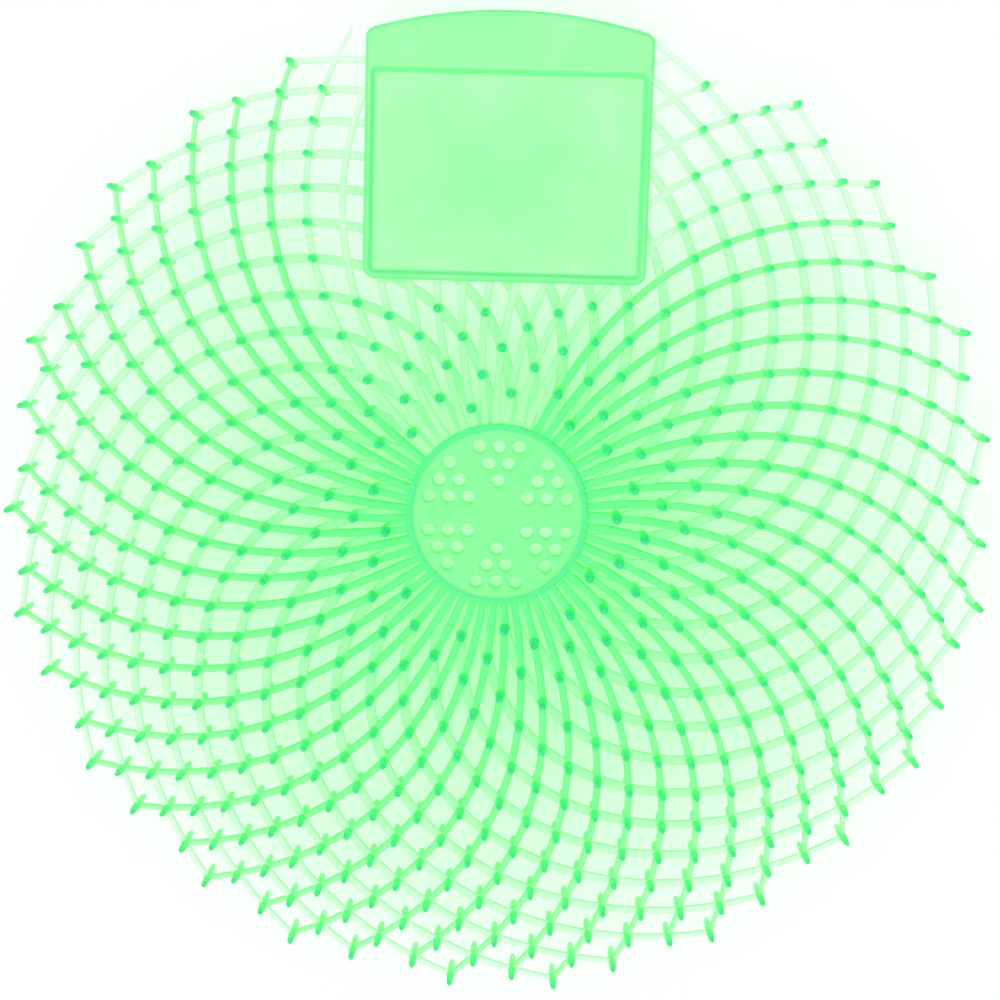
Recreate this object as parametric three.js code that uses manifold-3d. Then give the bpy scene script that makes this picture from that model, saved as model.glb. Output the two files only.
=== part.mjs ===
// Urinal deodorizer screen: one soft moulding that lies in the bowl over the drain.
//
// The crossings of the lattice are numbered outwards from the drain disc. Each one lies one turning
// step further round than the one before, and its radius grows with the square root of its number, so
// that all cells have the same area. The turning step is close to the golden angle. That is why the
// crossings line up in spirals: every 55th one on a tall rib and every 34th one on a flat rib.
//
// Millimetres. +Z is up, out of the face that is seen, and +Y points from the drain disc to the tag.
// The origin is the centre of the drain disc's underside.

import * as THREE from 'three';
import { mergeVertices } from 'three/addons/utils/BufferGeometryUtils.js';
import Module from 'manifold-3d';

// Reach of the lattice, and of the pins above it and the feet below it
const screenRadius = 89;
const pinHeight = 6.8;
const footHeight = 4.6;

// Numbers of the crossings, their turning step and the clock angle where the count starts, in degrees
const firstCrossing = 32;
const lastCrossing = 647;
const turningStep = 137.503;
const startAngle = 264.77;
const tallStride = 55;
const flatStride = 34;

// Ribs, which taper downwards from their flat top to a keel
const tallRibWidth = 1.2;
const flatRibWidth = 1.6;
const latticeTop = 2.4;
const ribDepth = 2.1;
const faceAboveLattice = 0.2;

// The ribs that run under the tag are shallow. They are neighbours, counted clockwise from the first
const shallowRibDepth = 1.2;
const firstShallowRib = 37;
const shallowRibCount = 11;
const strideToNextRib = 21;

// Pins and feet. Near the disc the crossings are long: there a pin has a shorter base of its own, and
// feet stand only under the crossings further out
const firstFooted = 245;
const longestPinBase = 2.8;
const ownPinBase = 0.95;
const footBase = 0.45;

// Drain disc with a raised edge, and its triangular groups of holes with the point to the centre
const discRadius = 16.5;
const discEdgeWidth = 1.3;
const discEdgeHeight = 0.4;
const discSides = 30;
const holePitch = 3.56;
const holeRadius = 1.2;
const holeSides = 6;
const holeGroups = 6;
const holeRows = 3;
const firstHoleRow = 2;
const ribBiteInDisc = 1.1;

// Tag: a flat tab with an arched top and a panel that is set back
const tagWidth = 51.4;
const tagBottomY = 41.6;
const tagShoulderY = 84.4;
const tagTopY = 88.1;
const tagCornerRadius = 2;
const panelRecess = 0.5;
const panelEdge = 2.2;
const panelTopY = 77.6;
const arcSegments = 4;
const ribBiteInTag = 2;

// No pin stands this close to the tag, so that a finger gets under it
const bareBesideTag = 5;
const bareBelowTag = 2.8;

// The lattice is trimmed beside the tag's top: one crossing is cut away and one hangs on a single rib
const trimmedCrossing = 624;
const trimmedStub = 0.42;
const looseCrossing = 642;

// A recess is cut from this far above its face, and points nearer than the weld are one point
const cutClearance = 1;
const weldDistance = 1e-4;

const spacing = screenRadius / Math.sqrt(lastCrossing);
const latticeBottom = latticeTop - ribDepth;
const pinTip = latticeTop + pinHeight;
const footTip = latticeBottom - footHeight;

// The faces of the disc and the panel cover the ribs' ends, and both edges stand above these faces
const faceHeight = latticeTop + faceAboveLattice;
const discThickness = faceHeight + discEdgeHeight;
const tagThickness = faceHeight + panelRecess;

// Angle that a number of steps turns, in radians, brought to less than half a turn either way
function turnOf(steps) {
  const turn = (steps * turningStep) % 360;
  return THREE.MathUtils.degToRad(turn > 180 ? turn - 360 : turn);
}

// Point of the spiral that runs through crossing k with this stride, where its running number is s
function spiralPoint(k, stride, s) {
  const start = THREE.MathUtils.degToRad(startAngle) + turnOf(k);
  const angle = start + ((s - k) * turnOf(stride)) / stride;
  const radius = spacing * Math.sqrt(s);
  return new THREE.Vector2(radius * Math.sin(angle), radius * Math.cos(angle));
}

function crossing(k) {
  return spiralPoint(k, 1, k);
}

// Outward direction of that spiral: part along the radius, part across it
function spiralDirection(k, stride, s) {
  const point = spiralPoint(k, stride, s);
  const outward = point.clone().normalize();
  const clockwise = new THREE.Vector2(outward.y, -outward.x);
  const across = (point.length() * turnOf(stride)) / stride;
  return outward
    .multiplyScalar(spacing / (2 * Math.sqrt(s)))
    .addScaledVector(clockwise, across)
    .normalize();
}

function leftOf(direction) {
  return new THREE.Vector2(-direction.y, direction.x);
}

function isShallow(k) {
  const place = ((k - firstShallowRib) * strideToNextRib) % tallStride;
  return (place + tallStride) % tallStride < shallowRibCount;
}

// Whether a point is within the tag, grown by one margin at the sides and another below
function isWithinTag(point, sideMargin, lowerMargin) {
  const isInWidth = Math.abs(point.x) < tagWidth / 2 + sideMargin;
  return isInWidth && point.y > tagBottomY - lowerMargin;
}

function isPinned(k) {
  return !isWithinTag(crossing(k), bareBesideTag, bareBelowTag);
}

function hasFoot(k) {
  return k >= firstFooted && isPinned(k);
}

function isBehindTag(k) {
  return isWithinTag(crossing(k), -ribBiteInTag, -ribBiteInTag);
}

// The skin of the lattice, collected as points and triangles that face outwards
const skin = { points: [], triangles: [] };

function addPoint(flat, z) {
  skin.points.push(flat.x, flat.y, z);
  return skin.points.length / 3 - 1;
}

function addFace(...corners) {
  for (let i = 2; i < corners.length; i += 1) {
    skin.triangles.push(corners[0], corners[i - 1], corners[i]);
  }
}

function addCone(tip, ring) {
  ring.forEach((corner, i) => addFace(tip, corner, ring[(i + 1) % ring.length]));
}

function keelHeight(k) {
  return latticeTop - (isShallow(k) ? shallowRibDepth : ribDepth);
}

// One crossing: four corners on top, where the edges of its two ribs meet, and below them the keels'
// ends, one for the ribs that go outwards and one for the ribs that come from the disc. A foot stands
// between the two. A crossing without a foot has one point for both.
function makeCrossing(k) {
  const centre = crossing(k);
  const tall = spiralDirection(k, tallStride, k);
  const flat = spiralDirection(k, flatStride, k);
  const sine = Math.abs(tall.cross(flat));
  const alongTall = tall.clone().multiplyScalar(flatRibWidth / 2 / sine);
  const alongFlat = flat.clone().multiplyScalar(tallRibWidth / 2 / sine);
  const leftOuter = centre.clone().add(alongFlat).add(alongTall);
  const leftInner = centre.clone().add(alongFlat).sub(alongTall);
  const rightOuter = centre.clone().sub(alongFlat).add(alongTall);
  const rightInner = centre.clone().sub(alongFlat).sub(alongTall);
  if (k - flatStride < firstCrossing) {
    rightInner.copy(leftInner).addScaledVector(leftOf(tall), -tallRibWidth);
  }
  const outwards = tall.clone().add(flat).normalize();
  const node = {
    k,
    centre,
    outwards,
    leftOuter: addPoint(leftOuter, latticeTop),
    leftInner: addPoint(leftInner, latticeTop),
    rightOuter: addPoint(rightOuter, latticeTop),
    rightInner: addPoint(rightInner, latticeTop),
    outerReach: leftOuter.distanceTo(centre),
    innerRadius: Math.min(leftInner.length(), rightInner.length()),
  };
  const keelShift = hasFoot(k) ? footBase : 0;
  node.keelOut = addPoint(centre.clone().addScaledVector(outwards, keelShift), keelHeight(k));
  node.keelIn = node.keelOut;
  if (hasFoot(k)) {
    node.keelIn = addPoint(centre.clone().addScaledVector(outwards, -keelShift), keelHeight(k));
  }
  return node;
}

// Top of a crossing: flat, or drawn up to a pin
function coverCrossing(node) {
  const { centre, outwards, leftOuter, leftInner, rightOuter, rightInner } = node;
  if (!isPinned(node.k)) {
    addFace(rightOuter, leftOuter, leftInner, rightInner);
    return;
  }
  const tip = addPoint(centre, pinTip);
  if (node.outerReach <= longestPinBase) {
    addCone(tip, [rightOuter, leftOuter, leftInner, rightInner]);
    return;
  }
  const outerBase = addPoint(centre.clone().addScaledVector(outwards, ownPinBase), latticeTop);
  const innerBase = addPoint(centre.clone().addScaledVector(outwards, -ownPinBase), latticeTop);
  addCone(tip, [rightOuter, outerBase, leftInner, innerBase]);
  addFace(outerBase, rightOuter, leftOuter, leftInner);
  addFace(innerBase, leftInner, rightInner, rightOuter);
}

function addFoot(node) {
  if (hasFoot(node.k)) {
    const tip = addPoint(node.centre, footTip);
    addCone(tip, [node.leftInner, node.keelOut, node.rightOuter, node.keelIn]);
  }
}

// A rib's section is its right edge, its left edge and its keel, seen from the disc outwards
const tallRibs = {
  stride: tallStride,
  width: tallRibWidth,
  outerSection: (node) => [node.rightOuter, node.leftOuter, node.keelOut],
  innerSection: (node) => [node.rightInner, node.leftInner, node.keelIn],
};

const flatRibs = {
  stride: flatStride,
  width: flatRibWidth,
  outerSection: (node) => [node.leftOuter, node.leftInner, node.keelOut],
  innerSection: (node) => [node.rightOuter, node.rightInner, node.keelIn],
};

// A section of the rib through crossing k where its running number is s
function freeSection(ribs, k, s) {
  const point = spiralPoint(k, ribs.stride, s);
  const side = leftOf(spiralDirection(k, ribs.stride, s)).multiplyScalar(ribs.width / 2);
  const right = addPoint(point.clone().sub(side), latticeTop);
  const left = addPoint(point.clone().add(side), latticeTop);
  return [right, left, addPoint(point, keelHeight(k))];
}

function addRib(from, to) {
  const [right, left, keel] = from;
  const [farRight, farLeft, farKeel] = to;
  addFace(right, farRight, farLeft, left);
  addFace(keel, farKeel, farRight, right);
  addFace(farKeel, keel, left, farLeft);
}

function capOuterEnd([right, left, keel]) {
  addFace(keel, left, right);
}

function capInnerEnd([right, left, keel]) {
  addFace(keel, right, left);
}

// The rib that leaves a crossing outwards: to the next crossing, to its end inside the tag, or cut off
function addOuterRib(nodes, node, ribs) {
  const next = node.k + ribs.stride;
  const section = ribs.outerSection(node);
  if (nodes.has(next)) {
    addRib(section, ribs.innerSection(nodes.get(next)));
    return;
  }
  const isTrimmed = next === trimmedCrossing;
  if (next > lastCrossing || (isTrimmed && ribs === flatRibs)) {
    capOuterEnd(section);
    return;
  }
  const length = isTrimmed ? trimmedStub : 1;
  const end = freeSection(ribs, node.k, node.k + length * ribs.stride);
  addRib(section, end);
  capOuterEnd(end);
}

// The rib that comes to a crossing from within, where no other crossing lies before it: a tall rib
// starts in the disc, a flat one at its first crossing, and a rib beside the tag inside the tag
function addInnerEnd(nodes, node, ribs) {
  const previous = node.k - ribs.stride;
  if (nodes.has(previous)) {
    return;
  }
  const section = ribs.innerSection(node);
  const biteRadius = discRadius - ribBiteInDisc;
  const startsAtDisc = previous < firstCrossing;
  const isInDisc = node.innerRadius < biteRadius + ribBiteInDisc / 2;
  if ((startsAtDisc && (ribs === flatRibs || isInDisc)) || node.k === looseCrossing) {
    capInnerEnd(section);
    return;
  }
  const start = freeSection(ribs, node.k, startsAtDisc ? (biteRadius / spacing) ** 2 : previous);
  addRib(start, section);
  capInnerEnd(start);
}

function latticeGeometry() {
  const nodes = new Map();
  for (let k = firstCrossing; k <= lastCrossing; k += 1) {
    if (k !== trimmedCrossing && !isBehindTag(k)) {
      nodes.set(k, makeCrossing(k));
    }
  }
  for (const node of nodes.values()) {
    coverCrossing(node);
    addFoot(node);
    for (const ribs of [tallRibs, flatRibs]) {
      addOuterRib(nodes, node, ribs);
      addInnerEnd(nodes, node, ribs);
    }
  }
  const geometry = new THREE.BufferGeometry();
  geometry.setAttribute('position', new THREE.Float32BufferAttribute(skin.points, 3));
  geometry.setIndex(skin.triangles);
  return geometry;
}

// Plate with upright walls over an outline, between two heights
function plate(shape, bottom, top) {
  const geometry = new THREE.ExtrudeGeometry(shape, {
    depth: top - bottom,
    bevelEnabled: false,
    curveSegments: arcSegments,
  });
  return geometry.translate(0, 0, bottom);
}

function polygon(PathType, x, y, radius, sides) {
  const corners = [];
  for (let i = 0; i < sides; i += 1) {
    const angle = (2 * Math.PI * i) / sides;
    corners.push(new THREE.Vector2(x + radius * Math.cos(angle), y + radius * Math.sin(angle)));
  }
  return new PathType(corners);
}

// Holes lie on a triangular grid. A group starts some rows from the centre and widens by a hole a row
function addDiscHoles(shape) {
  const rowPitch = holePitch * Math.sin(Math.PI / 3);
  for (let group = 0; group < holeGroups; group += 1) {
    const angle = (2 * Math.PI * group) / holeGroups;
    const outward = new THREE.Vector2(Math.sin(angle), Math.cos(angle));
    for (let row = 0; row < holeRows; row += 1) {
      for (let place = 0; place <= row; place += 1) {
        const centre = outward
          .clone()
          .multiplyScalar((firstHoleRow + row) * rowPitch)
          .addScaledVector(leftOf(outward), (place - row / 2) * holePitch);
        shape.holes.push(polygon(THREE.Path, centre.x, centre.y, holeRadius, holeSides));
      }
    }
  }
}

// Outline of the tag or, drawn in by its edge, of the panel
function tagOutline(inset, shoulderY, topY) {
  const right = tagWidth / 2 - inset;
  const left = -right;
  const bottom = tagBottomY + inset;
  const round = tagCornerRadius;
  const shape = new THREE.Shape();
  shape.moveTo(left + round, bottom);
  shape.lineTo(right - round, bottom);
  shape.absarc(right - round, bottom + round, round, -Math.PI / 2, 0, false);
  shape.lineTo(right, shoulderY);
  shape.quadraticCurveTo(0, 2 * topY - shoulderY, left, shoulderY);
  shape.lineTo(left, bottom + round);
  shape.absarc(left + round, bottom + round, round, Math.PI, (3 * Math.PI) / 2, false);
  return shape;
}

const wasm = await Module();
wasm.setup();

function toSolid(geometry) {
  geometry.deleteAttribute('normal');
  geometry.deleteAttribute('uv');
  const merged = mergeVertices(geometry, weldDistance);
  return new wasm.Manifold(
    new wasm.Mesh({
      numProp: 3,
      vertProperties: new Float32Array(merged.attributes.position.array),
      triVerts: new Uint32Array(merged.index.array),
    }),
  );
}

function toGeometry(solid) {
  const mesh = solid.getMesh();
  const geometry = new THREE.BufferGeometry();
  geometry.setAttribute('position', new THREE.BufferAttribute(mesh.vertProperties, 3));
  geometry.setIndex(new THREE.BufferAttribute(mesh.triVerts, 1));
  geometry.computeVertexNormals();
  return geometry;
}

function discSolid() {
  const outline = polygon(THREE.Shape, 0, 0, discRadius, discSides);
  addDiscHoles(outline);
  const face = polygon(THREE.Shape, 0, 0, discRadius - discEdgeWidth, discSides);
  const faceRecess = plate(face, faceHeight, discThickness + cutClearance);
  return toSolid(plate(outline, 0, discThickness)).subtract(toSolid(faceRecess));
}

function tagSolid() {
  const outline = tagOutline(0, tagShoulderY, tagTopY);
  const panel = tagOutline(panelEdge, panelTopY, panelTopY);
  const panelCut = plate(panel, faceHeight, tagThickness + cutClearance);
  return toSolid(plate(outline, 0, tagThickness)).subtract(toSolid(panelCut));
}

const material = new THREE.MeshStandardMaterial({ color: 0x8cf5ab, roughness: 0.4, metalness: 0 });
const screenSolid = toSolid(latticeGeometry()).add(discSolid()).add(tagSolid());
const screen = new THREE.Mesh(toGeometry(screenSolid), material);
screen.name = 'screen';

const part = new THREE.Group();
part.name = 'urinal_screen';
part.add(screen);

export default part;
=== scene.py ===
# %% [markdown]
# A urinal screen is one soft plastic moulding. It lies in the bowl over the drain, and it breaks up
# splashes and gives off scent. It has a round lattice of curved ribs, a pin and a foot at each crossing,
# a perforated disc over the drain and a flat tag to lift it by.
#
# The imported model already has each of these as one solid. Here the same moulding is made again as six
# finer surfaces by the same rule, and it gets its plastic, its light and its camera. A few sizes were
# measured once more: the pins are shorter here, the tag and its edge are narrower, and the ribs thin
# out towards the rim.

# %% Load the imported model
import math

import bpy
import numpy as np
from mathutils import Matrix, Vector
from mathutils.geometry import delaunay_2d_cdt


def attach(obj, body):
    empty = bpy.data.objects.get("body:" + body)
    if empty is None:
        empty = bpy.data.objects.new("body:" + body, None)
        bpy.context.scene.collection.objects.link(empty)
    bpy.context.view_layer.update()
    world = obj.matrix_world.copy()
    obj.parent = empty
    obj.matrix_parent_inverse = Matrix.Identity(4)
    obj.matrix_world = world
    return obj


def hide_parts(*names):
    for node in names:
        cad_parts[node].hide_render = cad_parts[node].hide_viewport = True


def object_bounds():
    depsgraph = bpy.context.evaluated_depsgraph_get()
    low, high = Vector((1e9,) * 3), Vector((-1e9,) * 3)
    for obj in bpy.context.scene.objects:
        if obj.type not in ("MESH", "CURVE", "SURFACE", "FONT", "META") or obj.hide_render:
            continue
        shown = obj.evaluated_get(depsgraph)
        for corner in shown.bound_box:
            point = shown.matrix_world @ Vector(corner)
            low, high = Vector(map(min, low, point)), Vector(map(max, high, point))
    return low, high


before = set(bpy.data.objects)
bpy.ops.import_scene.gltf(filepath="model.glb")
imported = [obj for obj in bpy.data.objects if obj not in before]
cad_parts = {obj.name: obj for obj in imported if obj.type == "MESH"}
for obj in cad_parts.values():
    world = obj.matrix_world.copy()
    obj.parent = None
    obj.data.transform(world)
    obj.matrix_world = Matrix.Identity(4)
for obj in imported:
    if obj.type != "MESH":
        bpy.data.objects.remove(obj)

MM = 0.001
cad_low, cad_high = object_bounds()
print("CAD box in mm:", [round(x / MM, 1) for x in (*cad_low, *cad_high)])

# %% [markdown]
# The ribs cross at 616 places. On the real mould they lie as seeds lie on a sunflower: each crossing is
# one turning step further round than the one before, and its radius grows with the square root of its
# number. All cells then have the same area. Every 55th crossing lies on one tall rib, and every 34th on
# one flat rib. One rule gives every place, so no list of points is needed.

# %% The rule of the lattice
SCREEN_RADIUS = 89 * MM
FIRST_CROSSING = 32
LAST_CROSSING = 647
TURNING_STEP = 137.503
START_ANGLE = 264.77
TALL_STRIDE = 55
FLAT_STRIDE = 34
SPACING = SCREEN_RADIUS / math.sqrt(LAST_CROSSING)


def turn_of(steps):
    """Angle that a number of steps turns, in radians, brought to less than half a turn either way."""
    turn = np.mod(np.asarray(steps, float) * TURNING_STEP, 360)
    return np.radians(np.where(turn > 180, turn - 360, turn))


def spiral_point(number, stride, running):
    """Point of the spiral through a crossing: the radius is the spacing times the square root of the
    running number, and the clock angle grows by the stride's turn over one stride."""
    angle = math.radians(START_ANGLE) + turn_of(number)
    angle = angle + (running - number) * turn_of(stride) / stride
    radius = SPACING * np.sqrt(running)
    return np.stack([radius * np.sin(angle), radius * np.cos(angle)], axis=-1)


def spiral_slope(number, stride, running):
    """How far that point moves for one step of the running number: half the spacing over the root along
    the radius, and the radius times the turn of one step across it."""
    point = spiral_point(number, stride, running)
    radius = np.linalg.norm(point, axis=-1, keepdims=True)
    outward = point / radius
    clockwise = np.stack([outward[..., 1], -outward[..., 0]], axis=-1)
    along = SPACING ** 2 / (2 * radius)
    return outward * along + clockwise * radius * float(turn_of(stride)) / stride


crossings = np.arange(FIRST_CROSSING, LAST_CROSSING + 1)
places = spiral_point(crossings, 1, crossings)
print("crossings:", len(crossings), "outermost radius in mm:", round(SCREEN_RADIUS / MM, 1))

# %% [markdown]
# The tag lies over part of the lattice. Behind it there are no crossings, and close to it the crossings
# have no pins, so that a finger gets under it. Beside its top the moulding is trimmed: one crossing is
# cut away and one hangs on its tall rib alone. Masks over the crossing numbers say all of this.

# %% Crossings that the tag takes away or leaves bare
TAG_WIDTH = 50.0 * MM
TAG_BOTTOM = 41.6 * MM
BITE_BESIDE_TAG = 1.3 * MM
BITE_BELOW_TAG = 2 * MM
BARE_BESIDE_TAG = 5.7 * MM
BARE_BELOW_TAG = 2.8 * MM
TRIMMED_CROSSING = 624
TRIMMED_STUB = 0.42
LOOSE_CROSSING = 642
FIRST_SHALLOW_RIB = 37
SHALLOW_RIBS = 11
STRIDE_TO_NEXT_RIB = 21


def is_within_tag(points, side_margin, lower_margin):
    """Whether points are within the tag, grown by one margin at its sides and another below it."""
    is_in_width = np.abs(points[..., 0]) < TAG_WIDTH / 2 + side_margin
    return is_in_width & (points[..., 1] > TAG_BOTTOM - lower_margin)


def is_shallow(numbers):
    """Whether crossings lie on the shallow tall ribs: those are neighbours, counted clockwise."""
    place = np.mod((numbers - FIRST_SHALLOW_RIB) * STRIDE_TO_NEXT_RIB, TALL_STRIDE)
    return place < SHALLOW_RIBS


is_behind = is_within_tag(places, -BITE_BESIDE_TAG, -BITE_BELOW_TAG)
is_shown = ~is_behind & (crossings != TRIMMED_CROSSING)
is_pinned = is_shown & ~is_within_tag(places, BARE_BESIDE_TAG, BARE_BELOW_TAG)
print("shown:", int(is_shown.sum()), "with a pin:", int(is_pinned.sum()))

# %% [markdown]
# Every round bar of the moulding, whether rib, pin or foot, is a row of rings closed by a point at each
# end. One helper numbers the faces of many such bars at once, and another puts points and faces into a
# mesh as whole arrays, which takes a moment even for a hundred thousand faces. Each point also stores
# a tone, from 0 for thin and pale to 1 for deep. Mostly it is how much plastic lies under the point,
# because depth is what colours clear plastic, but in places it is painted light and shade: the deeper
# tone of the ribs and pins near the disc, and the dark line along the tag's step.

# %% Helpers for bars and meshes
BODY = "root"
NODE = "screen"
DEPTH_AND_LIGHT = "depth_and_painted_light"
QUAD_CORNERS = 4
TRIANGLE_CORNERS = 3


def bar_faces(bars, rings, sides):
    """Faces of bars laid one after another, each with its rings' points and then its two end points.
    A quad joins neighbours on two rings, and a triangle joins an end ring's neighbours to its end."""
    first = (np.arange(bars) * (rings * sides + 2))[:, None, None]
    ring = np.arange(rings - 1)[None, :, None] * sides
    side = np.arange(sides)[None, None, :]
    after = np.mod(side + 1, sides)
    quads = np.stack(np.broadcast_arrays(
        first + ring + side, first + ring + after,
        first + ring + sides + after, first + ring + sides + side), axis=-1)
    start = first + rings * sides
    last_ring = first + (rings - 1) * sides
    starts = np.stack(np.broadcast_arrays(start, first + after, first + side), axis=-1)
    ends = np.stack(np.broadcast_arrays(start + 1, last_ring + side, last_ring + after), axis=-1)
    return quads.reshape(-1, 4), np.concatenate([starts.reshape(-1, 3), ends.reshape(-1, 3)])


def bar_points(rings, start, end):
    """Points of bars in the order that bar_faces numbers: rings as (bar, ring, side), then the ends."""
    bars = len(rings)
    ends = np.stack([start, end], axis=1)
    return np.concatenate([rings.reshape(bars, -1, 3), ends], axis=1).reshape(-1, 3)


def make_piece(name, points, quads, triangles, depth):
    """Mesh piece from arrays: corner numbers in one row, quads first, and each point's tone, which is
    plastic depth with painted light and shade in places.
    """
    mesh = bpy.data.meshes.new(name)
    mesh.vertices.add(len(points))
    mesh.vertices.foreach_set("co", points.astype(np.float32).ravel())
    corners = np.concatenate([quads.ravel(), triangles.ravel()])
    starts = np.concatenate([
        np.arange(len(quads)) * QUAD_CORNERS, quads.size + np.arange(len(triangles)) * TRIANGLE_CORNERS])
    mesh.loops.add(len(corners))
    mesh.loops.foreach_set("vertex_index", corners.astype(np.int32))
    mesh.polygons.add(len(starts))
    mesh.polygons.foreach_set("loop_start", starts.astype(np.int32))
    mesh.polygons.foreach_set("use_smooth", np.ones(len(starts), bool))
    mesh.update(calc_edges=True)
    mesh.validate()
    stored = mesh.attributes.new(DEPTH_AND_LIGHT, "FLOAT", "POINT")
    stored.data.foreach_set("value", depth.astype(np.float32).ravel())
    piece = bpy.data.objects.new(name, mesh)
    bpy.context.scene.collection.objects.link(piece)
    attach(piece, BODY)
    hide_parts(NODE)
    print(name, "triangles:", 2 * len(quads) + len(triangles))
    return piece


# %% [markdown]
# A rib is a bar of plastic that follows its spiral from the disc to the rim. Its section is nearly a
# rectangle with rounded edges, a little narrower at the bottom so that it leaves the mould. It could be
# a bevelled curve, but carrying the section along by arrays keeps it upright and lets each rib change
# its width and its depth on the way. A tall rib is deep and narrow, and a flat rib is shallow and wide.
# Both grow slighter towards the rim, where the plastic has to bend with the bowl, and paler, partly
# because there is less plastic and partly as painted light: the deeper tone near the disc stands in for
# the green light that the close-set ribs there pass to one another.

# %% How the ribs run
RIB_START_RADIUS = 15 * MM
RIM_OVERSHOOT = 0.55 * MM


def rib_runs(stride):
    """Rows of crossing number, first running number and last running number, one for each unbroken
    stretch of a rib. A stretch starts in the disc or inside the tag and ends at the rim or in the tag."""
    shown = dict(zip(crossings.tolist(), is_shown.tolist()))
    behind = dict(zip(crossings.tolist(), is_behind.tolist()))
    runs = []
    for first in range(FIRST_CROSSING, FIRST_CROSSING + stride):
        start = (RIB_START_RADIUS / SPACING) ** 2
        for number in range(first, LAST_CROSSING + 1, stride):
            if not shown[number]:
                continue
            before, after = number - stride, number + stride
            if before >= FIRST_CROSSING and not shown[before]:
                start = before if behind[before] else number
            if after in shown and shown[after]:
                continue
            hop = RIM_OVERSHOOT / np.linalg.norm(spiral_slope(number, stride, number))
            end = number + hop
            if after in shown and behind[after]:
                end = after
            if after == TRIMMED_CROSSING and stride == TALL_STRIDE:
                end = number + TRIMMED_STUB * stride
            if not (number == LOOSE_CROSSING and stride == FLAT_STRIDE):
                runs.append((number, start, end))
    return np.array(runs, float)


tall_runs = rib_runs(TALL_STRIDE)
flat_runs = rib_runs(FLAT_STRIDE)
print("stretches of tall rib:", len(tall_runs), "of flat rib:", len(flat_runs))

# %% How a section is carried along a rib
SECTION_SIDES = 16
SQUARENESS = 4
DRAFT = 0.12
END_STEPS = np.array([0.0, 0.06, 0.22, 0.5]) * MM
END_SHARES = np.array([0.62, 0.9, 1.0])
WIDTH_POWER = 2.5


def rib_section():
    """Rounded rectangle round a unit square: cosine and sine of the side's angle, each raised to two
    over the squareness with its sign kept. The width narrows downwards by the draft. The depth of
    plastic under a point is what is left of the height at that point across."""
    angle = 2 * math.pi * np.arange(SECTION_SIDES) / SECTION_SIDES
    power = 2 / SQUARENESS
    across = np.sign(np.cos(angle)) * np.abs(np.cos(angle)) ** power
    height = np.sign(np.sin(angle)) * np.abs(np.sin(angle)) ** power
    depth = (1 - np.abs(across) ** SQUARENESS) ** (1 / SQUARENESS)
    return across * (1 + DRAFT * (height - 1) / 2), height, depth


def fade(flat, near_disc, at_rim, power=1):
    """Value that changes with the radius, from one at the ribs' start to another at the rim. It changes
    evenly with a power of 1, and first slowly and then faster with a higher one."""
    radius = np.linalg.norm(flat, axis=-1)
    share = np.clip((radius - RIB_START_RADIUS) / (SCREEN_RADIUS - RIB_START_RADIUS), 0, 1)
    return near_disc + (at_rim - near_disc) * share ** power


def carry_ribs(runs, stride, stations, widths, top, bottoms):
    """Rings of the ribs, the points of both their ends and the depth shares: the section, scaled to half
    the width and half the height, stands square on the spiral, and both sizes fade from the disc to the
    rim. Rings lie at even steps of the root of the running number, with a few close ones at both ends,
    where the section shrinks to round the end off."""
    number, start, end = (runs[:, i:i + 1] for i in range(3))
    length = np.linalg.norm(
        spiral_point(number, stride, end) - spiral_point(number, stride, start), axis=-1)
    near = END_STEPS[None, :] / length
    inner = np.linspace(0, 1, stations)[None, 1:-1] * (1 - 2 * near[:, -1:]) + near[:, -1:]
    share = np.concatenate([near, inner, 1 - near[:, ::-1]], axis=1)
    running = (np.sqrt(start) + share * (np.sqrt(end) - np.sqrt(start))) ** 2
    centre = spiral_point(number, stride, running)
    slope = spiral_slope(number, stride, running)
    slope = slope / np.linalg.norm(slope, axis=-1, keepdims=True)
    left = np.stack([-slope[..., 1], slope[..., 0]], axis=-1)
    across, height, depth = rib_section()
    scale = np.ones(share.shape[1] - 2)
    scale[:len(END_SHARES)] = END_SHARES
    scale[-len(END_SHARES):] = END_SHARES[::-1]
    width = fade(centre, *widths, WIDTH_POWER)
    bottom = fade(centre, *bottoms)
    middle = (top + bottom) / 2
    half = (top - bottom) / 2
    side = width[:, 1:-1, None] / 2 * scale[None, :, None] * across
    flat = centre[:, 1:-1, None, :] + left[:, 1:-1, None, :] * side[..., None]
    level = middle[:, 1:-1, None] + half[:, 1:-1, None] * scale[None, :, None] * height
    rings = np.concatenate([flat, level[..., None]], axis=-1)
    points = np.concatenate([centre, middle[..., None]], axis=-1)
    return rings, points[:, 0], points[:, -1], np.broadcast_to(depth, rings.shape[:-1])


# %% [markdown]
# The tall ribs stand from just above the disc's underside to the top of the lattice. Eleven of them run
# under the tag, and these are shallow, which is why they look pale. A rib is a little deeper in colour
# along its edges than in the middle, which keeps it apart from the pale cells beside it.

# %% Tall ribs
LATTICE_TOP = 2.4 * MM
LATTICE_BOTTOM = 0.3 * MM
RIM_BOTTOM = 0.8 * MM
SHALLOW_BOTTOM = 1.2 * MM
TALL_RIB_WIDTHS = (1.5 * MM, 0.8 * MM)
TALL_STATIONS = 62
# Tones near the disc and at the rim: the fall is partly painted light, for the green light between the
# close-set ribs near the disc.
TALL_TONES = (0.62, 0.2)
SHALLOW_TONES = (0.25, 0.05)
EDGE_TONE = 0.16


def tones_of(rings, share, tones):
    """Tones of the ribs' points: their tone there, which fades to the rim partly as painted light, plus
    the edge tone times what is missing of the depth under the point. The ends take the tone of the
    nearest point."""
    tone = fade(rings[..., :2], *tones) + EDGE_TONE * (1 - share)
    ends = np.stack([tone[:, 0, 0], tone[:, -1, 0]], axis=-1)
    return np.concatenate([tone.reshape(len(tone), -1), ends], axis=1)


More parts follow.
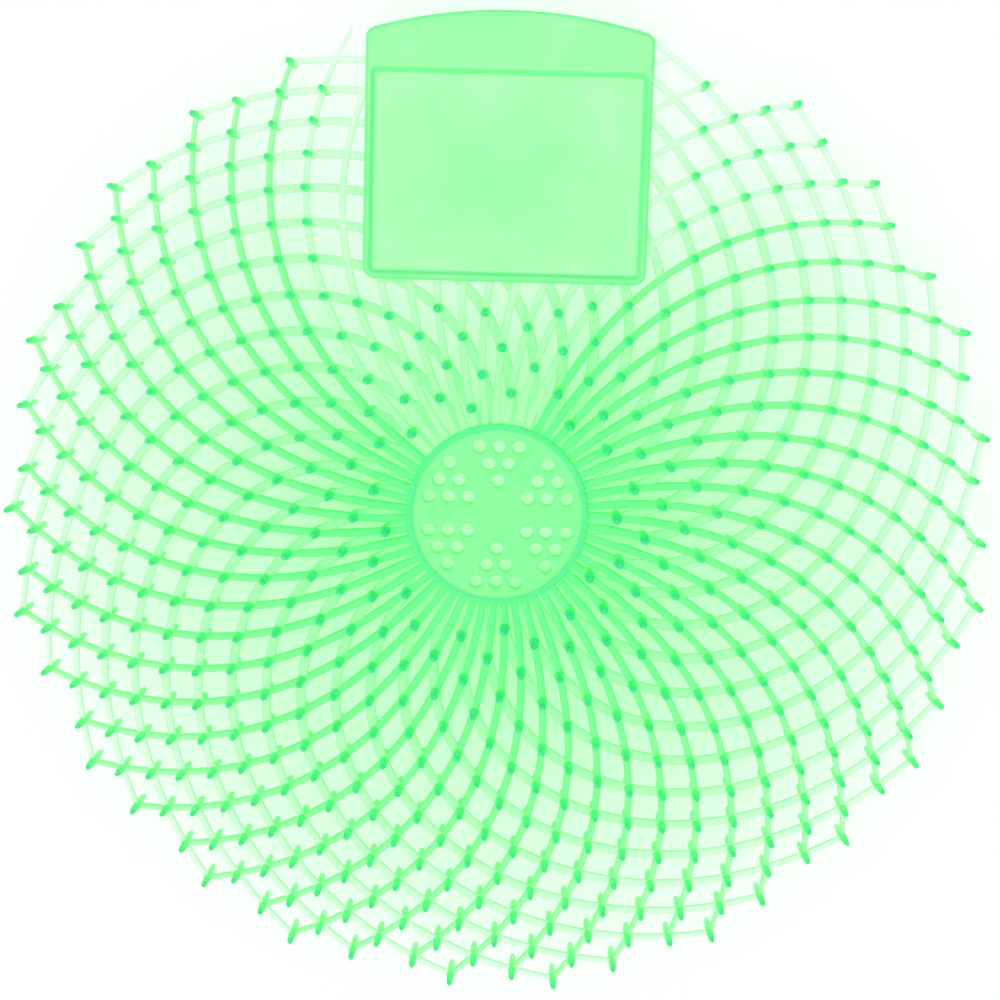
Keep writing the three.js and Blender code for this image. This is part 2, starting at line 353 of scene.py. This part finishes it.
shallow = is_shallow(tall_runs[:, 0])
bottoms = [np.where(shallow, SHALLOW_BOTTOM, deep)[:, None] for deep in (LATTICE_BOTTOM, RIM_BOTTOM)]
tones = [np.where(shallow, pale, deep)[:, None, None] for pale, deep in zip(SHALLOW_TONES, TALL_TONES)]
rings, starts, ends, share = carry_ribs(
    tall_runs, TALL_STRIDE, TALL_STATIONS, TALL_RIB_WIDTHS, LATTICE_TOP, bottoms)
tall_ribs = make_piece(
    "tall_ribs", bar_points(rings, starts, ends), *bar_faces(*rings.shape[:3]),
    tones_of(rings, share, tones))

# %% [markdown]
# The flat ribs curl the other way. They tie the tall ribs together like the hoops of a basket, a little
# below their top.

# %% Flat ribs
FLAT_RIB_WIDTHS = (2.0 * MM, 1.0 * MM)
FLAT_TOP = 2.2 * MM
FLAT_BOTTOMS = (1.1 * MM, 1.3 * MM)
FLAT_STATIONS = 78
# The flat ribs' fall in tone towards the rim is partly painted light in the same way.
FLAT_TONES = (0.37, 0.05)

rings, starts, ends, share = carry_ribs(
    flat_runs, FLAT_STRIDE, FLAT_STATIONS, FLAT_RIB_WIDTHS, FLAT_TOP, FLAT_BOTTOMS)
flat_ribs = make_piece(
    "flat_ribs", bar_points(rings, starts, ends), *bar_faces(*rings.shape[:3]),
    tones_of(rings, share, FLAT_TONES))

# %% [markdown]
# A pin stands on each crossing and a foot hangs under it, and together they look like a spindle that the
# lattice is threaded on. Each is a slightly tapered rod with a rounded tip and a soft fillet where it
# leaves the lattice. There are more than a thousand of them, so each has only a few dozen faces. Soft
# pins never stand quite straight, so each tip is off by up to a tenth of a millimetre or so, from
# seeded random numbers.

# %% Pins and feet
ROD_SIDES = 8
ROD_HEIGHTS = np.array([0.0, 0.1, 0.22, 0.5, 0.8, 0.92, 0.975])
PIN_TIP = 6.4 * MM
PIN_ROOT = 1.3 * MM
FOOT_ROOT = 1.7 * MM
ROOT_RADIUS = 0.76 * MM
TIP_RADIUS = 0.52 * MM
FILLET = 0.06 * MM
FILLET_FALL = 9
DOME_START = 0.8
SWELLS = (1.4, 0.98)
LEAN = 0.1 * MM
# Pins and feet are deeper in colour near the disc than at the rim, partly because they are thicker there
# and partly as painted light, for the green light among the close-set crossings near the disc.
PIN_TONES = ((0.92, 1.0), (0.5, 0.8))
FOOT_TONES = ((0.6, 0.5), (0.42, 0.2))
LEAN_SEED = 55
random = np.random.default_rng(LEAN_SEED)


def rod_radius(share):
    """Radius at a share of the height: a straight taper from root to tip, plus a fillet that dies away
    from the root, times a quarter round over the last part."""
    taper = ROOT_RADIUS + (TIP_RADIUS - ROOT_RADIUS) * share + FILLET * np.exp(-FILLET_FALL * share)
    dome = np.clip((share - DOME_START) / (1 - DOME_START), 0, 1)
    return taper * np.sqrt(1 - dome ** 2)


def stand_rods(name, bases, root, tip, tones):
    """Rods from one level to another: each ring is a circle of the rod's radius there, which swells
    towards the disc, moved aside by the lean times the square of its share of the height. The tones are
    those of the root and the tip, near the disc and at the rim."""
    count = len(bases)
    up = 1 if tip > root else -1
    angle = 2 * math.pi * np.arange(ROD_SIDES) / ROD_SIDES
    circle = np.stack([np.cos(angle), up * np.sin(angle)], axis=-1)
    lean = random.uniform(-LEAN, LEAN, (count, 2))
    share = ROD_HEIGHTS
    centre = bases[:, None, :] + lean[:, None, :] * share[None, :, None] ** 2
    radius = fade(bases, *SWELLS)[:, None] * rod_radius(share)
    flat = centre[:, :, None, :] + radius[:, :, None, None] * circle
    level = np.broadcast_to((root + (tip - root) * share)[None, :, None, None], flat.shape[:3] + (1,))
    rings = np.concatenate([flat, level], axis=-1)
    starts = np.concatenate([bases, np.full((count, 1), root)], axis=1)
    ends = np.concatenate([bases + lean, np.full((count, 1), tip)], axis=1)
    tone = np.stack([fade(bases, tones[0][i], tones[1][i]) for i in (0, 1)], axis=-1)
    along = tone[:, :1] + (tone[:, 1:] - tone[:, :1]) * share
    depth = np.repeat(along, ROD_SIDES, axis=1)
    depth = np.concatenate([depth, tone], axis=1)
    return make_piece(name, bar_points(rings, starts, ends), *bar_faces(*rings.shape[:3]), depth)


pin_places = places[is_pinned]
pins = stand_rods("pins", pin_places, PIN_ROOT, PIN_TIP, PIN_TONES)
feet = stand_rods("feet", pin_places, FOOT_ROOT, cad_low.z, FOOT_TONES)

# %% [markdown]
# The disc over the drain is a round plate with a raised edge and six triangular groups of six holes.
# Its outside is a profile turned about the axis, and each hole is a small profile turned about its own
# axis, with rounded edges. What is left is a flat sheet with holes, once on top and once below. A
# triangulation that keeps the rings as borders fills it, because no simple grid fits between them.

# %% Sizes and rings of the drain disc
DISC_RADIUS = 16.5 * MM
DISC_FACE_RADIUS = 15.2 * MM
DISC_FACE = 2.6 * MM
DISC_EDGE_TOP = 3.0 * MM
DISC_SIDES = 144
HOLE_PITCH = 3.56 * MM
HOLE_RADIUS = 1.2 * MM
HOLE_ROUND = 0.22 * MM
HOLE_SIDES = 24
HOLE_GROUPS = 6
HOLE_ROWS = 3
FIRST_HOLE_ROW = 2
ARC = np.radians([0, 22.5, 45, 67.5, 90])
DISC_TONE = 0.43
DISC_EDGE_TONE = 0.74


def hole_centres():
    """Centres on a triangular grid: a group starts two rows out from the centre and widens by one
    hole a row, and the groups are a sixth of a turn apart."""
    group, row, place = np.meshgrid(
        np.arange(HOLE_GROUPS), np.arange(HOLE_ROWS), np.arange(HOLE_ROWS), indexing="ij")
    kept = place <= row
    group, row, place = group[kept], row[kept], place[kept]
    angle = 2 * math.pi * group / HOLE_GROUPS
    out = (FIRST_HOLE_ROW + row) * HOLE_PITCH * math.sin(math.pi / 3)
    aside = (place - row / 2) * HOLE_PITCH
    x = out * np.sin(angle) - aside * np.cos(angle)
    y = out * np.cos(angle) + aside * np.sin(angle)
    return np.stack([x, y], axis=-1)


def turned(profile, centres, sides):
    """Rings of a profile turned about upright axes: radius and height at each profile point, carried
    round in even steps."""
    angle = 2 * math.pi * np.arange(sides) / sides
    circle = np.stack([np.cos(angle), np.sin(angle)], axis=-1)
    flat = centres[:, None, None, :] + profile[None, :, None, :1] * circle
    level = np.broadcast_to(profile[None, :, None, 1:], flat.shape[:3] + (1,))
    return np.concatenate([flat, level], axis=-1)


def rounded_corner(radius_at, height_at, size, sign_out, sign_up):
    """Quarter round of a profile: a corner's radius and height, less the part that the arc cuts off."""
    out = radius_at - sign_out * size * (1 - np.sin(ARC))
    up = height_at - sign_up * size * (1 - np.cos(ARC))
    return np.stack([out, up], axis=-1)


# %% Profiles of the disc's edge and of a hole
EDGE_ROUND = 0.4 * MM
STEP_RUN = 0.9 * MM
STEP_SHARES = np.linspace(0, 1, 7)
FLAT_MARGIN = 0.12 * MM


def step_fall(share):
    """Share of a step's height that is left, as half a cosine wave: level at both ends."""
    return (1 + np.cos(math.pi * share)) / 2


step_top = np.stack([
    DISC_FACE_RADIUS + STEP_RUN * (STEP_SHARES - 0.5),
    DISC_EDGE_TOP + (DISC_FACE - DISC_EDGE_TOP) * step_fall(STEP_SHARES)], axis=-1)
outer_top = rounded_corner(DISC_RADIUS, DISC_EDGE_TOP, EDGE_ROUND, 1, 1)
outer_bottom = rounded_corner(DISC_RADIUS, 0, EDGE_ROUND, 1, -1)[::-1]
sheet_radius = DISC_FACE_RADIUS - STEP_RUN / 2 - FLAT_MARGIN
disc_profile = np.concatenate([
    [[sheet_radius, DISC_FACE]], step_top, outer_top, outer_bottom,
    [[sheet_radius + FLAT_MARGIN, 0], [sheet_radius, 0]],
])
hole_top = rounded_corner(HOLE_RADIUS, DISC_FACE, HOLE_ROUND, -1, 1)[::-1]
hole_bottom = rounded_corner(HOLE_RADIUS, 0, HOLE_ROUND, -1, -1)
hole_edge = HOLE_RADIUS + HOLE_ROUND
hole_profile = np.concatenate([
    [[hole_edge + FLAT_MARGIN, 0]], hole_bottom, hole_top, [[hole_edge + FLAT_MARGIN, DISC_FACE]],
])
print("profile points: edge", len(disc_profile), "hole", len(hole_profile))

# %% Drain disc
ANY_TRIANGLES = 0
NEAREST_POINTS = 1e-6


def ring_faces(rows, sides, first):
    """Quads between neighbouring rings of one turned surface, in the order of its profile."""
    row = np.arange(rows - 1)[:, None] * sides
    side = np.arange(sides)[None, :]
    after = np.mod(side + 1, sides)
    quads = np.stack([row + side, row + after, row + sides + after, row + sides + side], axis=-1)
    return quads.reshape(-1, 4) + first


def fill_between(outer, holes):
    """Triangles of the flat sheet inside the outer ring and outside the holes, as numbers into the
    rings' points laid one after another. The points go in as millimetres, so that the least distance
    between two of them is in millimetres too. A triangle with all its corners on one hole's ring lies
    inside that hole and is left out."""
    points = np.concatenate([outer, holes.reshape(-1, 2)])
    loops = [np.arange(len(outer))]
    loops += [len(outer) + i * HOLE_SIDES + np.arange(HOLE_SIDES) for i in range(len(holes))]
    edges = np.concatenate([np.stack([loop, np.roll(loop, -1)], axis=-1) for loop in loops])
    flat = [Vector(point) for point in points / MM]
    found = delaunay_2d_cdt(flat, edges.tolist(), [], ANY_TRIANGLES, NEAREST_POINTS)
    triangles = np.array(found[2])
    order = np.array([origin[0] for origin in found[3]])
    triangles = order[triangles]
    ring_of = np.concatenate([np.full(len(outer), -1), np.repeat(np.arange(len(holes)), HOLE_SIDES)])
    first, second, third = ring_of[triangles].T
    is_in_hole = (first == second) & (second == third) & (first >= 0)
    return triangles[~is_in_hole]


centres = hole_centres()
edge_rings = turned(disc_profile, np.zeros((1, 2)), DISC_SIDES)[0]
hole_rings = turned(hole_profile, centres, HOLE_SIDES)
edge_count = edge_rings[..., 0].size
hole_count = hole_rings[0][..., 0].size
disc_points = np.concatenate([edge_rings.reshape(-1, 3), hole_rings.reshape(-1, 3)])
quads = [ring_faces(len(disc_profile), DISC_SIDES, 0)[:, ::-1]]
quads += [
    ring_faces(len(hole_profile), HOLE_SIDES, edge_count + i * hole_count)[:, ::-1]
    for i in range(len(centres))]
first_rows = edge_count + np.arange(len(centres))[:, None] * hole_count + np.arange(HOLE_SIDES)
last_rows = first_rows + hole_count - HOLE_SIDES
top_numbers = np.concatenate([np.arange(DISC_SIDES), last_rows.ravel()])
bottom_numbers = np.concatenate([edge_count - DISC_SIDES + np.arange(DISC_SIDES), first_rows.ravel()])
top_sheet = fill_between(edge_rings[0, :, :2], hole_rings[:, -1, :, :2])
bottom_sheet = fill_between(edge_rings[-1, :, :2], hole_rings[:, 0, :, :2])
triangles = np.concatenate([top_numbers[top_sheet], bottom_numbers[bottom_sheet][:, ::-1]])
disc_radii = np.linalg.norm(disc_points[:, :2], axis=1)
disc_depth = np.where(disc_radii > DISC_FACE_RADIUS, DISC_EDGE_TONE, DISC_TONE)
disc = make_piece("drain_disc", disc_points, np.concatenate(quads), triangles, disc_depth)

# %% [markdown]
# The tag is a flat tab with rounded lower corners and an arched top. Its edge stands up a little round
# a panel that is set back. One function gives the outline drawn in by any amount, with the same number
# of points each time, so that the tag is a stack of such rings, from the middle of its underside, over
# its edge and down the step, to the middle of the panel.

# %% Outline of the tag
TAG_SHOULDER = 84.4 * MM
TAG_TOP = 88.1 * MM
TAG_CORNER = 2.2 * MM
LEAST_CORNER = 0.6 * MM
SHOULDER_CORNER = 1.2 * MM
TAG_HEIGHT = 3.1 * MM
PANEL_EDGE = 1.3 * MM
PANEL_TOP = 77.6 * MM
PANEL_FACE = 2.6 * MM
SIDE_POINTS = 20
CORNER_POINTS = 8
ARCH_POINTS = 40


def corner_arc(x, y, radius, start):
    """Quarter circle that turns left from a start angle, about a centre."""
    angle = start + np.linspace(0, math.pi / 2, CORNER_POINTS)
    return np.stack([x + radius * np.cos(angle), y + radius * np.sin(angle)], axis=-1)


def straight(start, end, count):
    """Points strictly between two ends of a straight side."""
    share = np.linspace(0, 1, count + 2)[1:-1, None]
    return np.asarray(start) + share * (np.asarray(end) - np.asarray(start))


def tag_outline(inset, shoulder, rise, lower_round, upper_round):
    """Outline that starts at the lower left and runs round to the left: the bottom, the right side, a
    top that rises as a parabola by the rise, and the left side, with quarter circles at its corners."""
    right = TAG_WIDTH / 2 - inset
    bottom = TAG_BOTTOM + inset
    low, high = lower_round, upper_round
    lower_right = corner_arc(right - low, bottom + low, low, -math.pi / 2)
    upper_right = corner_arc(right - high, shoulder - high, high, 0)
    upper_left = corner_arc(high - right, shoulder - high, high, math.pi / 2)
    lower_left = corner_arc(low - right, bottom + low, low, math.pi)
    outline = np.concatenate([
        straight(lower_left[-1], lower_right[0], ARCH_POINTS), lower_right,
        straight(lower_right[-1], upper_right[0], SIDE_POINTS), upper_right,
        straight(upper_right[-1], upper_left[0], ARCH_POINTS), upper_left,
        straight(upper_left[-1], lower_left[0], SIDE_POINTS), lower_left,
    ])
    lift = np.clip((outline[:, 1] - (shoulder - high)) / high, 0, 1)
    across = outline[:, 0] / right
    outline[:, 1] += rise * lift * (1 - across ** 2)
    return outline


# %% Rings of the tag
TAG_ROUND = 0.5 * MM
PANEL_STEP_RUN = 0.6 * MM
PANEL_RINGS = 7
TAG_TONE = 0.34
TAG_EDGE_TONE = 0.5
# The step down to the panel is deeper in colour than the plastic on either side of it: painted shade
# along the step.
STEP_PAINTED_SHADE = 0.54
PANEL_TONE = 0.27
PANEL_MIDDLE_TONE = 0.35

arch = TAG_TOP - TAG_SHOULDER
rows = []


def add_tag_ring(inset, height, tone, reach=1.0, panel=False):
    """One ring of the tag: an outline drawn in by the inset, or the panel's, brought towards the panel's
    middle by its reach, at a height, with its tone. Along the step the tone is painted shade."""
    corner = max(TAG_CORNER - inset, LEAST_CORNER)
    if panel:
        outline = tag_outline(inset, PANEL_TOP - (inset - PANEL_EDGE), 0, corner, corner)
    else:
        upper = max(SHOULDER_CORNER - inset, LEAST_CORNER)
        outline = tag_outline(inset, TAG_SHOULDER - inset, arch, corner, upper)
    middle = np.array([0, (TAG_BOTTOM + PANEL_TOP) / 2])
    outline = middle + reach * (outline - middle)
    rows.append((outline, height, tone))


for reach in np.linspace(0, 1, PANEL_RINGS)[1:]:
    add_tag_ring(TAG_ROUND + FLAT_MARGIN, 0, PANEL_TONE, reach)
for out, up in zip(1 - np.sin(ARC), 1 - np.cos(ARC)):
    add_tag_ring(TAG_ROUND * out, TAG_ROUND * up, TAG_EDGE_TONE)
for out, up in zip(1 - np.sin(ARC[::-1]), 1 - np.cos(ARC[::-1])):
    add_tag_ring(TAG_ROUND * out, TAG_HEIGHT - TAG_ROUND * up, TAG_EDGE_TONE)
add_tag_ring(TAG_ROUND + FLAT_MARGIN, TAG_HEIGHT, TAG_TONE)
add_tag_ring(PANEL_EDGE - PANEL_STEP_RUN, TAG_HEIGHT, TAG_TONE, panel=True)
# Rings down the step, in the painted shade of the step.
for share in STEP_SHARES:
    add_tag_ring(PANEL_EDGE + PANEL_STEP_RUN * (share - 0.5),
                 PANEL_FACE + (TAG_HEIGHT - PANEL_FACE) * step_fall(share), STEP_PAINTED_SHADE, panel=True)
# Towards its middle the panel turns a little deeper in colour.
for reach in np.linspace(1, 0, PANEL_RINGS)[:-1]:
    add_tag_ring(PANEL_EDGE + PANEL_STEP_RUN, PANEL_FACE,
                 PANEL_MIDDLE_TONE + (PANEL_TONE - PANEL_MIDDLE_TONE) * reach, reach, panel=True)
print("rings of the tag:", len(rows), "points each:", len(rows[0][0]))

# %% Tag
tag_rings = np.stack([np.column_stack([flat, np.full(len(flat), height)]) for flat, height, _ in rows])
tag_middle = np.array([[0, (TAG_BOTTOM + PANEL_TOP) / 2, 0.0]])
tag_points = bar_points(tag_rings[None], tag_middle, tag_middle + [[0, 0, PANEL_FACE]])
quads, triangles = bar_faces(1, *tag_rings.shape[:2])
tag_tones_with_shade = np.repeat([tone for _, _, tone in rows], tag_rings.shape[1])
tag_tones_with_shade = np.concatenate([tag_tones_with_shade, [PANEL_TONE, PANEL_MIDDLE_TONE]])
tag = make_piece("tag", tag_points, quads, triangles, tag_tones_with_shade)

# %% [markdown]
# The plastic is soft, mint green and lets some light through. What the eye reads as its colour is how
# far light has gone through it: thin parts are pale, deep parts are saturated and bluer. A ramp over
# the stored tone gives that, and that tone also carries painted light and shade: the deeper tone near
# the disc and the dark line along the tag's step. Two faint noises keep it from looking drawn: clouds
# in the colour, and the fine grain that the mould leaves on the skin. They sit in one node group, which
# every part of the moulding shares.

# %% Node group for the tinted plastic
TINTS = (
    (0.0, (0.93, 1.0, 0.95)),
    (0.2, (0.50, 1.0, 0.54)),
    (0.4, (0.26, 1.0, 0.345)),
    (0.65, (0.13, 0.94, 0.295)),
    (1.0, (0.04, 0.84, 0.315)),
)
CLOUD_SIZE = 9 * MM
CLOUD_DETAIL = 2
CLOUD_SHARE = 0.06
GRAIN_SIZE = 0.35 * MM
GRAIN_DETAIL = 1
SKIN_ROUGHNESS = (0.38, 0.5)


def new_group(name, inputs, outputs):
    """Empty shader node group with named inputs and outputs, each given with its kind of socket."""
    group = bpy.data.node_groups.new(name, "ShaderNodeTree")
    for direction, sockets in (("INPUT", inputs), ("OUTPUT", outputs)):
        for socket, kind in sockets:
            group.interface.new_socket(socket, in_out=direction, socket_type="NodeSocket" + kind)
    return group, group.nodes.new("NodeGroupInput"), group.nodes.new("NodeGroupOutput")


plastic_group, given, result = new_group(
    "tinted_plastic",
    [("Depth", "Float"), ("Coordinates", "Vector")],
    [("Color", "Color"), ("Roughness", "Float"), ("Grain", "Float")])
nodes, link = plastic_group.nodes, plastic_group.links.new

clouds = nodes.new("ShaderNodeTexNoise")
clouds.inputs["Scale"].default_value = 1 / CLOUD_SIZE
clouds.inputs["Detail"].default_value = CLOUD_DETAIL
link(given.outputs["Coordinates"], clouds.inputs["Vector"])
shift = nodes.new("ShaderNodeMath")
shift.operation = "MULTIPLY_ADD"
shift.inputs[1].default_value = 2 * CLOUD_SHARE
shift.inputs[2].default_value = -CLOUD_SHARE
link(clouds.outputs["Fac"], shift.inputs[0])
clouded = nodes.new("ShaderNodeMath")
clouded.operation = "ADD"
link(given.outputs["Depth"], clouded.inputs[0])
link(shift.outputs["Value"], clouded.inputs[1])
ramp = nodes.new("ShaderNodeValToRGB")
while len(ramp.color_ramp.elements) < len(TINTS):
    ramp.color_ramp.elements.new(0.5)
for element, (position, tint) in zip(ramp.color_ramp.elements, TINTS):
    element.position = position
    element.color = (*tint, 1)
link(clouded.outputs["Value"], ramp.inputs["Fac"])
link(ramp.outputs["Color"], result.inputs["Color"])

grain = nodes.new("ShaderNodeTexNoise")
grain.inputs["Scale"].default_value = 1 / GRAIN_SIZE
grain.inputs["Detail"].default_value = GRAIN_DETAIL
link(given.outputs["Coordinates"], grain.inputs["Vector"])
link(grain.outputs["Fac"], result.inputs["Grain"])
skin = nodes.new("ShaderNodeMapRange")
skin.inputs["To Min"].default_value = SKIN_ROUGHNESS[0]
skin.inputs["To Max"].default_value = SKIN_ROUGHNESS[1]
link(clouds.outputs["Fac"], skin.inputs["Value"])
link(skin.outputs["Result"], result.inputs["Roughness"])
print("node group:", plastic_group.name, len(nodes), "nodes")

# %% [markdown]
# Light from the lamps goes through the plastic and reaches the floor as green light, so the floor in
# the cells is tinted and not grey. A transparent shader in the plastic's own tint, used only for rays
# to the lamps, does that without the cost of light scattering inside the plastic. Deep parts tint the
# light more than thin ones, so the tint follows the stored tone too, painted light and shade included.

# %% Plastic material
PASSED_TINTS = ((0.94, 1.0, 0.95, 1), (0.26, 1.0, 0.3, 1))
PLASTIC_IOR = 1.47
GRAIN_STRENGTH = 0.08
GRAIN_HEIGHT = 0.02 * MM

plastic = bpy.data.materials.new("mint_plastic")
plastic.use_nodes = True
nodes, link = plastic.node_tree.nodes, plastic.node_tree.links.new
shader = nodes["Principled BSDF"]
shader.inputs["IOR"].default_value = PLASTIC_IOR
stored_tone = nodes.new("ShaderNodeAttribute")
stored_tone.attribute_name = DEPTH_AND_LIGHT
coordinates = nodes.new("ShaderNodeTexCoord")
tinted = nodes.new("ShaderNodeGroup")
tinted.node_tree = plastic_group
bump = nodes.new("ShaderNodeBump")
bump.inputs["Strength"].default_value = GRAIN_STRENGTH
bump.inputs["Distance"].default_value = GRAIN_HEIGHT
link(stored_tone.outputs["Fac"], tinted.inputs["Depth"])
link(coordinates.outputs["Object"], tinted.inputs["Coordinates"])
link(tinted.outputs["Color"], shader.inputs["Base Color"])
link(tinted.outputs["Roughness"], shader.inputs["Roughness"])
link(tinted.outputs["Grain"], bump.inputs["Height"])
link(bump.outputs["Normal"], shader.inputs["Normal"])
passed = nodes.new("ShaderNodeBsdfTransparent")
passed_tint = nodes.new("ShaderNodeMix")
passed_tint.data_type = "RGBA"
tint_of = {socket.identifier: socket for socket in passed_tint.inputs}
tint_of["A_Color"].default_value, tint_of["B_Color"].default_value = PASSED_TINTS
link(stored_tone.outputs["Fac"], tint_of["Factor_Float"])
result_of = {socket.identifier: socket for socket in passed_tint.outputs}
link(result_of["Result_Color"], passed.inputs["Color"])
light_path = nodes.new("ShaderNodeLightPath")
either = nodes.new("ShaderNodeMixShader")
link(light_path.outputs["Is Shadow Ray"], either.inputs["Fac"])
link(shader.outputs["BSDF"], either.inputs[1])
link(passed.outputs["BSDF"], either.inputs[2])
link(either.outputs["Shader"], nodes["Material Output"].inputs["Surface"])
for piece in (tall_ribs, flat_ribs, pins, feet, disc, tag):
    piece.data.materials.append(plastic)
print("material:", plastic.name)

# %% [markdown]
# The screen lies on a plain white floor in soft, even light. The light comes from a wide dome, one
# broad sun from the upper right and a dim sky. The two lamps light the floor through the plastic, and
# the sky only through the cells. To the camera a small part of the floor's white is light of its own,
# which keeps the cells pale, and the rest of it keeps the green light and the shadow.

# %% Floor and light
WHITE = (1, 1, 1, 1)
FLOOR_REACH = 4.0
FLOOR_SHINE = 0.16
SKY_LIGHT = 0.25
DOME_LIGHT = 2.02
DOME_SPREAD = 170
SUN_LIGHT = 0.5
SUN_SPREAD = 35
SUN_TILT = 38
SUN_BEARING = 40

floor_mesh = bpy.data.meshes.new("floor")
corners = [(-1, -1), (1, -1), (1, 1), (-1, 1)]
floor_points = [(x * FLOOR_REACH, y * FLOOR_REACH, cad_low.z) for x, y in corners]
floor_mesh.from_pydata(floor_points, [], [range(len(corners))])
floor = bpy.data.objects.new("floor", floor_mesh)
bpy.context.scene.collection.objects.link(floor)
floor_paint = bpy.data.materials.new("floor_white")
floor_paint.use_nodes = True
nodes, link = floor_paint.node_tree.nodes, floor_paint.node_tree.links.new
paper = nodes["Principled BSDF"]
paper.inputs["Base Color"].default_value = WHITE
paper.inputs["Roughness"].default_value = 1
paper.inputs["Specular IOR Level"].default_value = 0
floor_path = nodes.new("ShaderNodeLightPath")
seen = nodes.new("ShaderNodeMath")
seen.operation = "ADD"
link(floor_path.outputs["Is Camera Ray"], seen.inputs[0])
link(floor_path.outputs["Is Glossy Ray"], seen.inputs[1])
seen_through = nodes.new("ShaderNodeMath")
seen_through.operation = "ADD"
link(seen.outputs["Value"], seen_through.inputs[0])
link(floor_path.outputs["Is Transmission Ray"], seen_through.inputs[1])
shine_share = nodes.new("ShaderNodeMath")
shine_share.operation = "MULTIPLY"
shine_share.inputs[1].default_value = FLOOR_SHINE
link(seen_through.outputs["Value"], shine_share.inputs[0])
shine = nodes.new("ShaderNodeEmission")
lit_floor = nodes.new("ShaderNodeMixShader")
link(shine_share.outputs["Value"], lit_floor.inputs["Fac"])
link(paper.outputs["BSDF"], lit_floor.inputs[1])
link(shine.outputs["Emission"], lit_floor.inputs[2])
link(lit_floor.outputs["Shader"], nodes["Material Output"].inputs["Surface"])
floor_mesh.materials.append(floor_paint)

world = bpy.data.worlds.new("sky")
bpy.context.scene.world = world
world.use_nodes = True
nodes, link = world.node_tree.nodes, world.node_tree.links.new
sky = nodes["Background"]
sky.inputs["Color"].default_value = WHITE
sky_path = nodes.new("ShaderNodeLightPath")
sky_strength = nodes.new("ShaderNodeMapRange")
sky_strength.inputs["To Min"].default_value = SKY_LIGHT
link(sky_path.outputs["Is Camera Ray"], sky_strength.inputs["Value"])
link(sky_strength.outputs["Result"], sky.inputs["Strength"])


def add_lamp(name, strength, spread, tilt, bearing):
    """Far lamp that shines from a round patch of sky, tilted from straight overhead towards a bearing.
    It lights only along rays that are aimed at it, so none of its light is lost behind the plastic."""
    data = bpy.data.lights.new(name, "SUN")
    data.energy = strength
    data.angle = math.radians(spread)
    data.cycles.use_multiple_importance_sampling = False
    lamp = bpy.data.objects.new(name, data)
    lamp.rotation_euler = (math.radians(tilt), 0, -math.radians(bearing))
    bpy.context.scene.collection.objects.link(lamp)


add_lamp("dome", DOME_LIGHT, DOME_SPREAD, 0, 0)
add_lamp("sun", SUN_LIGHT, SUN_SPREAD, SUN_TILT, SUN_BEARING)
bpy.context.scene.view_settings.view_transform = "Standard"
print("floor at", round(cad_low.z / MM, 2), "mm")

# %% [markdown]
# The camera looks down on the screen from nearly straight above, a little from the tag's side, as the
# photograph was taken. Its distance, which is small against the screen's width, is what makes the
# pins lean outwards in the picture. Its place, the point that it looks at and its upward direction
# came from fitting the ribs and the pins' tips together.

# %% Camera
CAMERA_PLACE = Vector((3.963, 42.492, 282.314)) * MM
CAMERA_AIM = Vector((0.410, 2.735, 2.4)) * MM
CAMERA_UP = Vector((-0.0278, 0.9996, 0))
FOCAL_LENGTH = 56.52
NEAREST_SEEN = 10 * MM

camera_data = bpy.data.cameras.new("camera")
camera_data.lens = FOCAL_LENGTH
camera_data.clip_start = NEAREST_SEEN
camera = bpy.data.objects.new("camera", camera_data)
forward = (CAMERA_AIM - CAMERA_PLACE).normalized()
right = forward.cross(CAMERA_UP).normalized()
turn = Matrix((right, right.cross(forward), -forward)).transposed()
camera.matrix_world = Matrix.Translation(CAMERA_PLACE) @ turn.to_4x4()
bpy.context.scene.collection.objects.link(camera)
bpy.context.scene.camera = camera
print("camera distance in mm:", round((CAMERA_AIM - CAMERA_PLACE).length / MM))
